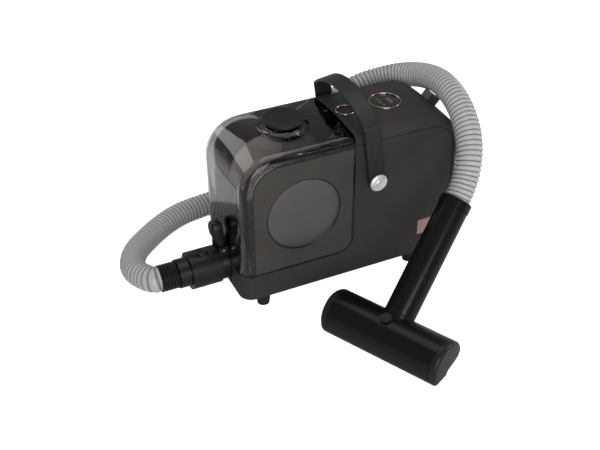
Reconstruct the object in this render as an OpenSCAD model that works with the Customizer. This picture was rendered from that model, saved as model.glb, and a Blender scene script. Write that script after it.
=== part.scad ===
// Portable carpet and upholstery cleaner: an L-shaped body, a lift-off smoked tank on its front half, a
// strap handle, and a ribbed suction hose that ends in a wand with a wide brush head.
// X runs along the body with the tank at -X, Y across it, Z up. The origin is on the floor under the
// middle of the body.

/* [Body] */
// Length of the body, tank included
body_length = 330; // [300:5:380]
// Width of the body
body_width = 132; // [120:2:170]
// Height of the side walls, from the underside of the base to the groove under the top cover
side_height = 205; // [195:5:250]
// Height of the base, up to the deck that the tank stands on
base_height = 38; // [34:1:44]
// Thickness of the moulded walls
wall = 3; // [2.4:0.2:3.6]
// Radius of the upright corners
corner_r = 18; // [14:1:24]
// Radius of the shoulder along the top of each side
shoulder_r = 13; // [10:1:15]
// Radius of the front and rear top corners, seen from the side
top_r = 50; // [40:2:60]
// Rise of the crowned top between the shoulders
crown = 3.5; // [2:0.5:5]
// Width and depth of the groove around each flat side
groove_w = 1.8; // [0.8:0.2:2.2]
// Radius of the seam where the deck turns up into the dock wall
seam_r = 22; // [14:1:28]
// Gap between the tank and the body it docks into
dock_gap = 0.4; // [0.3:0.1:0.8]

/* [Feet] */
// Height of the rubber feet
foot_height = 18; // [14:1:24]
// Radius of a foot where it meets the base
foot_r = 10.5; // [8:0.5:13]

/* [Tank] */
// Thickness of a side panel on the tank
panel_t = 3; // [2:0.5:3.5]
// Radius of the round window disc's hole
window_r = 54; // [40:1:58]
// Radius of the panel's front top corner
panel_r = 38; // [30:1:44]
// Thickness of the wall between the clean-water and the recovery chamber
divider_t = 2; // [1.6:0.2:3]
// Width of the black trim around a side panel
trim_w = 2.2; // [1.4:0.2:4]
// Radius of the filler neck's bore
neck_r = 21.5; // [18:0.5:24]
// Radius of the filler cap
cap_r = 28; // [26:0.5:32]

/* [Controls] */
// Outer radius of the display's metal ring
display_r = 22.3; // [18:0.5:24]
// Outer radius of the power button's metal ring
button_ring_r = 13.5; // [11:0.5:15]
// Travel of the power button
button_travel = 1.5; // [1:0.25:2]

/* [Handle] */
// Width of the strap
strap_w = 25; // [16:1:26]
// Thickness of the strap
strap_t = 4.5; // [3.5:0.5:6]
// Gap between the strap's legs and the body's sides
strap_gap = 5; // [4:0.5:8]
// Height of the strap's outer face above its pivot
strap_rise = 117; // [112:1:135]
// Height of the creases above the pivot, where the strap's legs turn into its arch
strap_knee = 88; // [80:1:100]
// Lean of the strap towards the tank at rest, in degrees
strap_lean = 8; // [0:1:12]
// Radius of the domed buttons over the pivots
dome_r = 12.8; // [11:0.2:15]

/* [Hose and wand] */
// Outer diameter of the hose
hose_d = 36; // [32:1:40]
// Thickness of the swivel cuff around the port's spigot
cuff_wall = 8.5; // [7:0.5:12]
// Length of the swivel cuff
cuff_length = 42; // [36:1:50]
// Outer radius of the wand
wand_r = 21; // [19.5:0.5:22]
// Length of the brush head
head_length = 178; // [140:2:200]

/* [Hidden] */
$fn = 64;
HULL_FN = 32;
z_base = foot_height;
z_deck = z_base + base_height;
z_side = z_base + side_height;
z_top = z_side + shoulder_r + crown;
half_l = body_length / 2;
half_w = body_width / 2;
z_arc = z_side + shoulder_r - top_r;
screw_r = 2;
fit_gap = 0.3;
run_gap = 0.05;
far = 500;

// Motor, fan and air path share one axis, level with the tank's air outlet.
air_z = z_deck + 54;
air_r = 16;
duct_wall = 2;
fan_x = 38;
fan_length = 30;
fan_r = 49;
motor_x = fan_x + fan_length;
motor_r = 38;
motor_length = half_l - motor_x - 35;
shaft_r = 4;

// Tank and what stands in it.
window_x = -75;
window_z = z_side - 85;
panel_x = -half_l + 16;
panel_top = z_side - 1;
collar_z = z_top + 6.5;
neck_wall = 2.4;
divider_x = window_x + neck_r + neck_wall + 1.1;
separator_x = -24;
separator_r = 18;
float_r = 12.5;
tube_z = air_z + air_r + 3;
tank_floor = z_deck + dock_gap + wall;
float_z = tank_floor + 3 + float_r + fit_gap;
float_travel = 26;
inlet_x = -half_l + 25;
inlet_r = 14;

// Controls in the top cover.
display_x = half_l - 87;
button_x = button_ring_r + wall + 0.5;
ring_t = 1.4;
ring_z = z_top + 1.5;
button_r = button_ring_r - ring_t - fit_gap;

// Strap handle.
pivot_x = 30.5;
pivot_z = z_side - 59;
pin_r = 4;
strap_y = half_w + strap_gap;
strap_bow = strap_rise - strap_knee;
strap_arch_r = (strap_bow * strap_bow + pow(strap_y + strap_t, 2)) / (2 * strap_bow);
strap_mid = strap_rise - strap_arch_r;

// Hose port, swivel cuff and what follows it, all on one axis at the front of the base.
port_z = z_base + 27;
spigot_r = hose_d / 2;
spigot_wall = 2.5;
port_r = spigot_r + 6;
port_length = 13;
port_flat = 20;
duct_w = 32;
duct_z0 = z_base + wall + 3;
duct_z1 = z_deck - wall - 1;
duct_x1 = inlet_x + inlet_r + 3;
cuff_r = spigot_r + cuff_wall;
cuff_x = -half_l - port_length - fit_gap;
sleeve_x = cuff_x - cuff_length - fit_gap;
sleeve_r = spigot_r + 2.5;
sleeve_length = 16;
bellows_x = sleeve_x - sleeve_length;
bellows_r = spigot_r + 1;
bellows_root = spigot_r - 1.5;
rib_count = 6;
rib_pitch = 4.3;
hose_x = bellows_x - rib_count * rib_pitch;
latch_x = -half_l - 7;
latch_z = port_z + port_flat + 9;
latch_w = 22;
cuff_button_x = cuff_x - cuff_length / 2;
cuff_button_r = 8.5;

// Brush head and wand. The head's own X runs along the wand's lean, its own Y along the head.
head_x = -48;
head_y = -226;
head_turn = 27;
wand_tilt = 41.5;
wand_x = 34;
wand_z = 29.2;
wand_wall = 2.6;
wand_start = 20;
wand_joint = 138;
wand_end = 178;
collar_length = 12;
wand_top = wand_end + 2 * fit_gap + collar_length;
head_wall = 2.6;
cap_t = 10;
wand_dir = [cos(wand_tilt) * cos(head_turn), cos(wand_tilt) * sin(head_turn), sin(wand_tilt)];
wand_foot = [head_x + wand_x * cos(head_turn), head_y + wand_x * sin(head_turn), wand_z];
hose_start = wand_foot + wand_dir * wand_top;

// Route of the hose from the wand's collar, over the rear cradle, down behind the body, along the floor
// and round to the bellows at the front.
HOSE_ROUTE = [
    hose_start,
    [127, -135, 176], [140, -121, 199], [150, -101, 219], [157, -76, 234], [162, -49, 244], [166, -19, 248],
    [169, 10, 246], [170, 39, 239], [166, 67, 230], [154, 92, 220], [133, 110, 210], [106, 118, 202],
    [78, 121, 192], [52, 121, 178], [29, 122, 159], [9, 126, 137], [-7, 133, 113], [-22, 143, 90],
    [-38, 153, 67], [-56, 164, 46], [-79, 173, 30], [-107, 178, 21], [-137, 178, 18], [-166, 173, 18],
    [-193, 162, 18], [-219, 146, 18], [-241, 127, 20], [-261, 105, 24], [-275, 80, 29], [-283, 52, 35],
    [-280, 23, 41], [hose_x, 0, port_z]
];

// ---- shared shapes -------------------------------------------------------------------------------------

// Extrudes a flat outline drawn in X and Z through Y, from y0 to y1.
module xz(y0, y1) {
    translate([0, y1, 0]) rotate([90, 0, 0]) linear_extrude(y1 - y0) children();
}

// A cylinder along X from x0 to x1.
module rod_x(r, x0, x1) {
    translate([x0, 0, 0]) rotate([0, 90, 0]) cylinder(r = r, h = x1 - x0);
}

// A cylinder along Y from y0 to y1.
module rod_y(r, y0, y1) {
    translate([0, y1, 0]) rotate([90, 0, 0]) cylinder(r = r, h = y1 - y0);
}

// A ring along X between two radii.
module ring_x(r_out, r_in, x0, x1) {
    difference() {
        rod_x(r_out, x0, x1);
        rod_x(r_in, x0 - 1, x1 + 1);
    }
}

// The body's outer form, moved in by inset: upright rounded corners, rounded top ends and a low crown.
module body_form(inset, z0) {
    hull() {
        for (sx = [-1, 1], sy = [-1, 1]) {
            translate([sx * (half_l - corner_r), sy * (half_w - corner_r), z0])
                cylinder(r = corner_r - inset, h = z_arc - z0, $fn = HULL_FN);
            translate([sx * (half_l - top_r), sy * (half_w - shoulder_r), z_arc]) rotate([90, 0, 0])
                rotate_extrude($fn = HULL_FN) translate([top_r - shoulder_r, 0])
                    circle(shoulder_r - inset, $fn = HULL_FN);
        }
        for (sx = [-1, 1], t = [0.1, 0.5]) {
            rise = crown * (1 - t * t);
            translate([sx * (half_l - top_r - rise), 0, z_arc]) rotate([90, 0, 0])
                cylinder(r = top_r + rise - inset, h = 2 * t * (half_w - shoulder_r), center = true,
                         $fn = HULL_FN);
        }
    }
}

// Side view of the space that the tank takes, moved in by gap on its rear and lower sides.
module tank_zone(gap) {
    translate([-far, z_deck + seam_r]) square([far - gap, far]);
    translate([-far, z_deck + gap]) square([far - seam_r, seam_r]);
    translate([-seam_r, z_deck + seam_r]) circle(seam_r - gap);
}

// Side view of a tank panel, moved in by gap all round.
module panel_outline(gap) {
    r = panel_r;
    intersection() {
        tank_zone(dock_gap + 0.6 + gap);
        union() {
            translate([panel_x + gap, z_deck]) square([far, panel_top - z_deck - r]);
            translate([panel_x + r, z_deck]) square([far, panel_top - z_deck - gap]);
            translate([panel_x + r, panel_top - r]) circle(r - gap);
        }
    }
}

// Side view of the groove around the body's flat side: along the top, round the rear corner and down.
module groove_line() {
    r = top_r - shoulder_r;
    translate([-1, z_side - groove_w / 2]) square([half_l - top_r + 1, groove_w]);
    translate([half_l - top_r, z_arc]) intersection() {
        difference() {
            circle(r + groove_w / 2);
            circle(r - groove_w / 2);
        }
        square(far);
    }
    translate([half_l - shoulder_r - groove_w / 2, z_base - 1]) square([groove_w, z_arc - z_base + 1]);
}

// A plan of the body with square-cornered insides left out, moved in by inset.
module plan(inset) {
    r = corner_r - inset;
    square([body_length - 2 * inset, body_width - 2 * corner_r], center = true);
    square([body_length - 2 * corner_r, body_width - 2 * inset], center = true);
    for (sx = [-1, 1], sy = [-1, 1])
        translate([sx * (half_l - corner_r), sy * (half_w - corner_r)]) circle(r);
}

module side_grooves() {
    xz(-far, -half_w + groove_w) groove_line();
    xz(half_w - groove_w, far) groove_line();
}

module at_feet() {
    for (x = [-half_l + 33, half_l - 65], y = [-half_w + 12, half_w - 12]) translate([x, y, 0]) children();
}

module at_strap() {
    translate([pivot_x, 0, pivot_z]) rotate([0, -strap_lean, 0]) children();
}

module at_head() {
    translate([head_x, head_y, 0]) rotate([0, 0, head_turn]) children();
}

// Places a piece on the wand's axis, with the axis along X and its zero at the wand's foot.
module on_wand() {
    at_head() translate([wand_x, 0, wand_z]) rotate([0, -wand_tilt, 0]) children();
}

// ---- body ----------------------------------------------------------------------------------------------

module main_shell() {
    color("#2b2a29") difference() {
        body_form(0, z_base);
        translate([-far, -far, z_side]) cube([2 * far, 2 * far, far]);
        xz(-far, far) tank_zone(0);
        difference() {
            body_form(wall, z_base - 1);
            xz(-far, far) tank_zone(-wall);
        }
        translate([-half_l - 1, -duct_w / 2, duct_z0]) cube([wall + 5, duct_w, duct_z1 - duct_z0]);
        translate([0, 0, air_z]) rod_x(air_r + 4, -1, wall + 1);
        translate([inlet_x, 0, z_deck - wall - 1]) cylinder(r = inlet_r, h = wall + 2);
        translate([pivot_x, 0, pivot_z]) rod_y(pin_r, -far, far);
        translate([half_l - wall - 4, -40, z_base + 62]) cube([wall + 5, 80, 70]);
        translate([half_l - wall - 4, 14, z_base + 10]) cube([wall + 5, 28, 22]);
        side_grooves();
    }
}

module bottom_plate() {
    color("#1f1f1f") {
        difference() {
            union() {
                translate([0, 0, z_base]) linear_extrude(wall) plan(wall + fit_gap);
                at_feet() translate([0, 0, z_base + wall]) cylinder(r = 6, h = 11);
            }
            at_feet() translate([0, 0, z_base - 1]) cylinder(r = screw_r, h = 30);
        }
    }
}

module rubber_feet() {
    color("#141414") at_feet() difference() {
        cylinder(r1 = foot_r - 2, r2 = foot_r, h = foot_height);
        translate([0, 0, -1]) cylinder(r = 2.5 * screw_r, h = foot_height - 6);
        cylinder(r = screw_r + 0.2, h = foot_height + 1);
    }
}

module foot_screws() {
    color("silver") at_feet() {
        translate([0, 0, foot_height - 9.5]) cylinder(r = 2 * screw_r, h = 2.5);
        translate([0, 0, foot_height - 7.5]) cylinder(r = screw_r, h = 17);
    }
}

module top_cover() {
    color("#2b2a29") difference() {
        body_form(0, z_base);
        translate([-far, -far, -far]) cube([2 * far, 2 * far, far + z_side]);
        translate([-far, -far, 0]) cube([far, 2 * far, far]);
        difference() {
            body_form(wall, z_base - 1);
            translate([-far, -far, 0]) cube([far + wall, 2 * far, far]);
        }
        side_grooves();
        translate([display_x, 0, z_side]) cylinder(r = display_r, h = far);
        translate([button_x, 0, z_side]) cylinder(r = button_ring_r, h = far);
    }
}

module metal_ring(x, r, flange) {
    translate([x, 0, z_top - 7]) difference() {
        union() {
            cylinder(r = r, h = ring_z - z_top + 7);
            cylinder(r = r + flange, h = 2.5);
        }
        translate([0, 0, -1]) cylinder(r = r - ring_t, h = far);
    }
}

module display_ring() {
    color("#b9a79c") metal_ring(display_x, display_r, 2);
}

module display_glass() {
    color("#34343a") translate([display_x, 0, z_top - 7]) cylinder(r = display_r - ring_t, h = 6.6);
}

module button_ring() {
    color("#b9a79c") metal_ring(button_x, button_ring_r, 0.4);
}

module power_button() {
    color("#2b2a29") translate([button_x, 0, z_top - 5]) cylinder(r = button_r, h = 5.4);
}

module control_board() {
    board_z = z_side - 3;
    color("#1f5c3a") {
        translate([button_x - 10, -28, board_z]) cube([display_x - button_x + 35, 56, 1.6]);
        translate([button_x, 0, board_z + 1.6])
            cylinder(r = 5, h = z_top - 5 - button_travel - 0.5 - board_z - 1.6);
    }
}

module board_posts() {
    color("#2b2a29") intersection() {
        for (x = [button_x + 20, display_x + 23], y = [-22, 22])
            translate([x, y, z_side - 1.4]) cylinder(r = 3, h = z_top - z_side);
        body_form(wall, z_base - 1);
    }
}

module rear_grille() {
    color("#1a1a1a") difference() {
        union() {
            translate([half_l - wall, -40 + fit_gap, z_base + 62 + fit_gap])
                cube([wall, 80 - 2 * fit_gap, 70 - 2 * fit_gap]);
            translate([half_l - wall - 2, -44, z_base + 58]) cube([2, 88, 78]);
        }
        for (i = [0 : 6]) translate([half_l - wall - 3, -34, z_base + 68 + i * 9]) cube([wall + 4, 68, 4]);
    }
}

// The saddle behind the top rear corner that the hose lies over.
module hose_cradle() {
    color("#161616") difference() {
        translate([half_l - top_r, 0, z_arc]) rotate([0, 41, 0]) translate([-9, -9, top_r - 8])
            cube([18, 18, 24]);
        body_form(0, z_base);
        translate([half_l - top_r, 0, z_arc]) rotate([0, 41, 0]) translate([0, 0, top_r + 12 + hose_d / 2])
            rotate([-3, 0, -3]) rod_y(hose_d / 2 + 1.5, -30, 30);
    }
}

module power_inlet() {
    color("#111111") translate([half_l - 16, 14 + fit_gap, z_base + 10 + fit_gap]) difference() {
        union() {
            cube([16, 28 - 2 * fit_gap, 22 - 2 * fit_gap]);
            translate([16 - wall - 2, -3, -3]) cube([2, 34 - 2 * fit_gap, 28 - 2 * fit_gap]);
        }
        translate([4, 3, 3]) cube([20, 22 - 2 * fit_gap, 16 - 2 * fit_gap]);
    }
}

module power_supply() {
    color("#3c3f44") translate([half_l - 38, -56, z_base + wall]) cube([30, 62, 34]);
}

module rating_label() {
    color("#c9a7a7") translate([half_l - 61, -half_w - 0.4, z_base + 32]) cube([22, 0.4, 24]);
}

// ---- strap handle --------------------------------------------------------------------------------------

module handle_pins() {
    y_in = half_w - wall - 3;
    y_out = strap_y + strap_t + fit_gap;
    color("silver") translate([pivot_x, 0, pivot_z]) for (a = [0, 180]) rotate([0, 0, a]) {
        rod_y(pin_r, y_in, y_out);
        rod_y(8, y_in, y_in + 3);
    }
}

module handle_spacers() {
    color("#141414") translate([pivot_x, 0, pivot_z]) for (y = [-strap_y + 0.2, half_w]) difference() {
        rod_y(9, y, y + strap_gap - 0.2);
        rod_y(pin_r, y - 1, y + strap_gap + 1);
    }
}

module dome() {
    dome_h = 3.6;
    dome_big = (dome_r * dome_r + dome_h * dome_h) / (2 * dome_h);
    rotate_extrude() intersection() {
        translate([0, dome_h - dome_big]) circle(dome_big, $fn = 180);
        square([dome_r + 1, dome_h + 1]);
    }
}

module handle_domes() {
    color("#d8d6d2") translate([pivot_x, 0, pivot_z]) for (s = [-1, 1])
        translate([0, s * (strap_y + strap_t + fit_gap), 0]) rotate([-s * 90, 0, 0]) dome();
}

module carry_strap() {
    y_out = strap_y + strap_t;
    color("#232323") at_strap() difference() {
        union() {
            rotate([90, 0, 90]) translate([0, 0, -strap_w / 2]) linear_extrude(strap_w) {
                intersection() {
                    translate([0, strap_mid]) difference() {
                        circle(strap_arch_r, $fn = 180);
                        circle(strap_arch_r - strap_t, $fn = 180);
                    }
                    translate([-y_out, strap_knee - 12]) square([2 * y_out, far]);
                }
                for (y = [-y_out, strap_y]) translate([y, 0]) square([strap_t, strap_knee]);
            }
            for (y = [-y_out, strap_y]) rod_y(strap_w / 2, y, y + strap_t);
        }
        rod_y(pin_r + run_gap, -far, far);
    }
}

// ---- air path ------------------------------------------------------------------------------------------

module suction_motor() {
    color("#8b8f93") translate([0, 0, air_z]) difference() {
        union() {
            rod_x(motor_r, motor_x, motor_x + motor_length);
            rod_x(motor_r / 2, motor_x + motor_length, motor_x + motor_length + 9);
        }
        rod_x(shaft_r + run_gap, motor_x - 1, motor_x + motor_length + 10);
    }
}

module motor_mounts() {
    color("#141414") translate([0, 0, air_z]) for (x = [motor_x + 6, motor_x + motor_length - 14])
        ring_x(motor_r + 5, motor_r, x, x + 8);
}

module motor_cradle() {
    color("#3a3a3a") for (x = [motor_x + 6, motor_x + motor_length - 14]) difference() {
        translate([x, -46, z_base + wall]) cube([8, 92, air_z - z_base - wall]);
        translate([0, 0, air_z]) rod_x(motor_r + 5, x - 1, x + 9);
    }
}

module fan_cover() {
    color("#4a4a4a") translate([0, 0, air_z]) difference() {
        rod_x(fan_r + wall, fan_x, fan_x + fan_length);
        rod_x(fan_r, fan_x + wall, fan_x + fan_length - wall);
        rod_x(air_r + duct_wall, fan_x - 1, fan_x + wall + 1);
        rod_x(shaft_r + 2, fan_x + 1, fan_x + fan_length + 1);
        translate([fan_x + 8, -12, 0]) cube([14, 24, fan_r + wall + 1]);
    }
}

module impeller() {
    disc_x = fan_x + fan_length - wall - 5;
    color("#c9ccd0") translate([0, 0, air_z]) difference() {
        union() {
            rod_x(fan_r - 4, disc_x, disc_x + 2);
            rod_x(9, fan_x + wall + 6, disc_x + 2);
            for (a = [0 : 30 : 330]) rotate([a, 0, 0]) translate([fan_x + wall + 6, -0.8, 8])
                cube([disc_x - fan_x - wall - 5, 1.6, fan_r - 13]);
        }
        rod_x(shaft_r, fan_x, disc_x + 5);
    }
}

module motor_shaft() {
    color("silver") translate([0, 0, air_z]) rod_x(shaft_r, fan_x + wall + 3, motor_x + motor_length + 12);
}

module air_duct() {
    color("#3a3a3a") translate([0, 0, air_z]) difference() {
        union() {
            rod_x(air_r + duct_wall, wall, fan_x + wall);
            rod_x(air_r + 8, wall, wall + 2);
        }
        rod_x(air_r, wall - 1, fan_x + wall + 1);
    }
}

module dock_gasket() {
    color("#7a1f1f") translate([0, 0, air_z]) ring_x(air_r + 4, air_r, -0.1, wall);
}

// ---- water path ----------------------------------------------------------------------------------------

module water_pump() {
    color("#6d7176") {
        translate([-96, -44, z_base + wall]) cube([34, 28, 26]);
        translate([0, -30, z_base + wall + 13]) rod_x(11, -62, -34);
    }
}

module pump_tube() {
    color("#d9d9d4") translate([0, -30, z_base + wall + 13]) rod_x(3.5, -half_l + wall, -96);
}

// ---- hose port and latch -------------------------------------------------------------------------------

module hose_port() {
    color("#1c1c1c") difference() {
        union() {
            translate([0, 0, port_z]) rod_x(port_r, -half_l - port_length, -half_l - dock_gap);
            translate([0, 0, port_z]) rod_x(spigot_r, sleeve_x - sleeve_length / 2, -half_l - port_length);
            translate([-half_l - 1, -duct_w / 2 - 3, duct_z0 - 2])
                cube([1, duct_w + 6, duct_z1 - duct_z0 + 3]);
        }
        translate([0, 0, port_z]) rod_x(spigot_r - spigot_wall, sleeve_x - sleeve_length, -half_l - 5);
        translate([-half_l - 7, -duct_w / 2, duct_z0]) cube([10, duct_w, duct_z1 - duct_z0]);
        translate([-half_l - port_length - 1, -port_r, port_z + port_flat])
            cube([port_length + 2, 2 * port_r, 10]);
    }
}

// Box duct from the port to the hole in the deck, standing against the front wall.
module inlet_duct() {
    t = duct_wall - 0.2;
    x0 = -half_l + wall;
    color("#2c2c2c") difference() {
        translate([x0, -duct_w / 2 - t, duct_z0 - t])
            cube([duct_x1 + t - x0, duct_w + 2 * t, z_deck - wall - duct_z0 + t]);
        translate([x0 - 1, -duct_w / 2, duct_z0]) cube([duct_x1 + 1 - x0, duct_w, duct_z1 - duct_z0]);
        translate([inlet_x, 0, duct_z1 - 1]) cylinder(r = inlet_r, h = 10);
    }
}

module latch_bracket() {
    color("#1c1c1c") translate([0, 0, port_z + port_flat]) difference() {
        translate([-half_l - port_length, -latch_w / 2 - 3.5, 0]) cube([port_length - 0.5, latch_w + 7, 14]);
        translate([-half_l - port_length - 1, -latch_w / 2 - fit_gap, 3])
            cube([port_length + 2, latch_w + 2 * fit_gap, 14]);
        translate([latch_x, 0, 9]) rod_y(pin_r / 2, -latch_w, latch_w);
    }
}

module latch_pin() {
    color("silver") translate([latch_x, 0, latch_z])
        rod_y(pin_r / 2, -latch_w / 2 - 3.5, latch_w / 2 + 3.5);
}

// Thumb lever: a round pivot boss and a thick pad that leans outwards above it.
module tank_latch() {
    half = latch_w / 2;
    color("#202020") translate([latch_x, 0, latch_z]) difference() {
        union() {
            rod_y(4, -half, half);
            xz(-half, half) polygon([
                [-4, 0], [4, 0], [5, 12], [4.5, 34], [1, 41], [-6, 43], [-12, 40], [-14, 32],
                [-12.5, 20], [-6, 8]
            ]);
        }
        rod_y(pin_r / 2 + run_gap, -far, far);
    }
}

// ---- tank ----------------------------------------------------------------------------------------------

module tank_shell() {
    color("#4d4a4866") difference() {
        intersection() {
            body_form(0, z_base);
            xz(-far, far) tank_zone(dock_gap);
        }
        intersection() {
            body_form(wall, z_base);
            xz(-half_w + wall + panel_t, half_w - wall - panel_t) tank_zone(dock_gap + wall);
        }
        xz(-far, -half_w + panel_t) panel_outline(0);
        xz(half_w - panel_t, far) panel_outline(0);
        translate([window_x, 0, z_top - 20]) cylinder(r = neck_r + neck_wall, h = 40);
        translate([0, 0, air_z]) rod_x(air_r, -10, 1);
        translate([inlet_x, 0, z_deck - 1]) cylinder(r = inlet_r, h = 10);
    }
}

// Wall between the clean-water chamber in front and the recovery chamber behind, with a hole for the duct.
module divider_wall() {
    y_in = half_w - wall - panel_t;
    color("#4d4a4866") difference() {
        intersection() {
            body_form(wall, z_base);
            translate([divider_x, -y_in, tank_floor]) cube([divider_t, 2 * y_in, far]);
        }
        translate([divider_x - 1, -inlet_r - 2, tank_floor - 1]) cube([divider_t + 2, 2 * inlet_r + 4, 35]);
    }
}

module panel(y0, y1) {
    difference() {
        xz(y0, y1) panel_outline(trim_w);
        translate([window_x, 0, window_z]) rod_y(window_r, y0 - 1, y1 + 1);
    }
}

module near_panel() {
    color("#35322f") panel(-half_w, -half_w + panel_t);
}

module far_panel() {
    color("#35322f") panel(half_w - panel_t, half_w);
}

// Black trims that hold the panels in their recesses.
module panel_trims() {
    color("#101010") for (y = [-half_w, half_w - panel_t]) difference() {
        xz(y, y + panel_t) panel_outline(0.2);
        xz(y - 1, y + panel_t + 1) panel_outline(trim_w);
    }
}

module window_discs() {
    disc_t = panel_t - 1.2;
    color("#4a4441") translate([window_x, 0, window_z]) {
        rod_y(window_r - 0.8, -half_w + panel_t - disc_t, -half_w + panel_t);
        rod_y(window_r - 0.8, half_w - panel_t, half_w - panel_t + disc_t);
    }
}

// Raised transparent collar that carries the filler cap, set in the hole in the tank's top.
module neck_collar() {
    color("#5a575466") translate([window_x, 0, 0]) rotate_extrude() polygon([
        [neck_r, z_top - 14], [neck_r + neck_wall, z_top - 14], [neck_r + neck_wall, z_top + 0.3],
        [neck_r + 15, z_top + 0.3], [neck_r + 13, z_top + 2], [neck_r + 5, collar_z - 0.5],
        [neck_r + 3, collar_z], [neck_r, collar_z]
    ]);
}

module fill_cap() {
    color("#161616") translate([window_x, 0, 0]) {
        translate([0, 0, collar_z + 1]) cylinder(r = cap_r, h = 5);
        difference() {
            translate([0, 0, collar_z - 14]) cylinder(r = neck_r - 0.5, h = 16);
            translate([0, 0, collar_z - 15]) cylinder(r = neck_r - 3.5, h = 14);
        }
    }
}

module cap_gasket() {
    color("#7a1f1f") translate([window_x, 0, collar_z]) difference() {
        cylinder(r = neck_r + 2.5, h = 1 - fit_gap);
        translate([0, 0, -1]) cylinder(r = neck_r, h = 3);
    }
}

module float_cage() {
    color("#2f3437") difference() {
        intersection() {
            union() {
                translate([separator_x, 0, tank_floor]) cylinder(r = separator_r, h = tube_z - tank_floor);
                translate([0, 0, air_z]) rod_x(air_r + duct_wall, separator_x, 0);
            }
            xz(-far, far) tank_zone(dock_gap + wall);
        }
        translate([separator_x, 0, tank_floor + 3])
            cylinder(r = separator_r - duct_wall, h = tube_z - tank_floor - 5);
        translate([0, 0, air_z]) rod_x(air_r, separator_x, 1);
        for (a = [0 : 45 : 315]) translate([separator_x, 0, tank_floor + 6]) rotate([0, 0, a + 22.5])
            translate([8, -4, 0]) cube([30, 8, 22]);
    }
}

module float_ball() {
    color("#d9702e") translate([separator_x, 0, float_z]) sphere(float_r);
}

// Box over the deck's hole and the duct that carries the dirty water back through the divider.
module inlet_box() {
    x0 = inlet_x - inlet_r - 6;
    x1 = inlet_x + inlet_r + 8;
    color("#232525") difference() {
        union() {
            xz(-half_w + 14, half_w - 14) polygon([
                [x0, tank_floor], [x1, tank_floor], [x1, tank_floor + 40], [x1 - 12, tank_floor + 50],
                [x0, tank_floor + 50]
            ]);
            translate([inlet_x, -inlet_r - 2, tank_floor])
                cube([divider_x + divider_t - inlet_x, 2 * inlet_r + 4, 34]);
        }
        translate([inlet_x, 0, tank_floor - 1]) cylinder(r = inlet_r, h = 33);
        translate([inlet_x, -inlet_r, tank_floor + 2])
            cube([divider_x + divider_t + 1 - inlet_x, 2 * inlet_r, 30]);
    }
}

// ---- hose end at the port ------------------------------------------------------------------------------

module swivel_cuff() {
    color("#1b1b1b") translate([0, 0, port_z]) difference() {
        rod_x(cuff_r, cuff_x - cuff_length, cuff_x);
        rod_x(spigot_r + run_gap, cuff_x - cuff_length - 1, cuff_x + 1);
        translate([cuff_button_x, 0, cuff_r - 5]) cylinder(r = cuff_button_r + fit_gap, h = 10);
    }
}

module cuff_button() {
    color("#101010") translate([cuff_button_x, 0, port_z + cuff_r - 3]) cylinder(r = cuff_button_r, h = 4.4);
}

module hose_sleeve() {
    color("#1b1b1b") translate([0, 0, port_z]) difference() {
        rod_x(sleeve_r, sleeve_x - sleeve_length, sleeve_x);
        rod_x(spigot_r, sleeve_x - sleeve_length / 2, sleeve_x + 1);
        rod_x(spigot_r - spigot_wall, sleeve_x - sleeve_length - 1, sleeve_x + 1);
    }
}

module strain_bellows() {
    bore = spigot_r - spigot_wall;
    color("#151515") translate([bellows_x, 0, port_z]) rotate([0, -90, 0]) rotate_extrude() polygon(concat(
        [[bore, 0]],
        [for (i = [0 : rib_count - 1], p = [[bellows_root, 0], [bellows_root, 0.25], [bellows_r, 0.4],
            [bellows_r, 0.85]]) [p[0], (i + p[1]) * rib_pitch]],
        [[bellows_root, rib_count * rib_pitch], [bore, rib_count * rib_pitch]]
    ));
}

// Hose: rings of points around the route, joined into one closed tube.
HOSE_SIDES = 12;
function unit(v) = v / norm(v);
function heading(i) = unit(
    i == 0 ? wand_dir :
    i == len(HOSE_ROUTE) - 1 ? [1, 0, 0] :
    HOSE_ROUTE[i + 1] - HOSE_ROUTE[i - 1]);
function across(d) = unit(cross(d, abs(d[2]) > 0.9 ? [1, 0, 0] : [0, 0, 1]));
function ring_points(i) = let (d = heading(i), u = across(d), v = cross(u, d)) [
    for (k = [0 : HOSE_SIDES - 1]) let (a = 360 * k / HOSE_SIDES)
        HOSE_ROUTE[i] + hose_d / 2 * (cos(a) * u + sin(a) * v)
];

module suction_hose() {
    n = len(HOSE_ROUTE);
    s = HOSE_SIDES;
    points = [for (i = [0 : n - 1], p = ring_points(i)) p];
    sides = [for (i = [0 : n - 2], k = [0 : s - 1]) [
        i * s + k, i * s + (k + 1) % s, (i + 1) * s + (k + 1) % s, (i + 1) * s + k]];
    color("#a9a9a6") polyhedron(points, concat(
        sides, [[for (k = [s - 1 : -1 : 0]) k]], [[for (k = [0 : s - 1]) (n - 1) * s + k]]));
}

// ---- wand and brush head -------------------------------------------------------------------------------

module wand_collar() {
    color("#1d1d1d") on_wand() difference() {
        rod_x(wand_r + 0.8, wand_end + fit_gap, wand_top - fit_gap);
        rod_x(spigot_r - spigot_wall + run_gap, 0, wand_top + 1);
    }
}

module wand_grip() {
    bore = spigot_r - spigot_wall;
    color("#232323") on_wand() difference() {
        union() {
            rod_x(wand_r, wand_joint, wand_end);
            rod_x(bore, wand_end - 2, wand_top);
        }
        rod_x(bore - 2, wand_joint - 1, wand_top + 1);
    }
}

module wand_tube() {
    color("#232323") on_wand() difference() {
        rod_x(wand_r, wand_start, wand_joint);
        rod_x(wand_r - wand_wall, wand_start - 1, wand_joint + 1);
    }
}

// Cross-section of the brush head, moved in by inset: a high rounded front and a low sloping back.
module head_section(inset) {
    hull() {
        translate([20, 30]) circle(25 - inset);
        translate([44, 22]) circle(18 - inset);
        translate([6, 3 + inset]) circle(3);
        translate([50, 4 + inset]) circle(4);
    }
}

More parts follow.
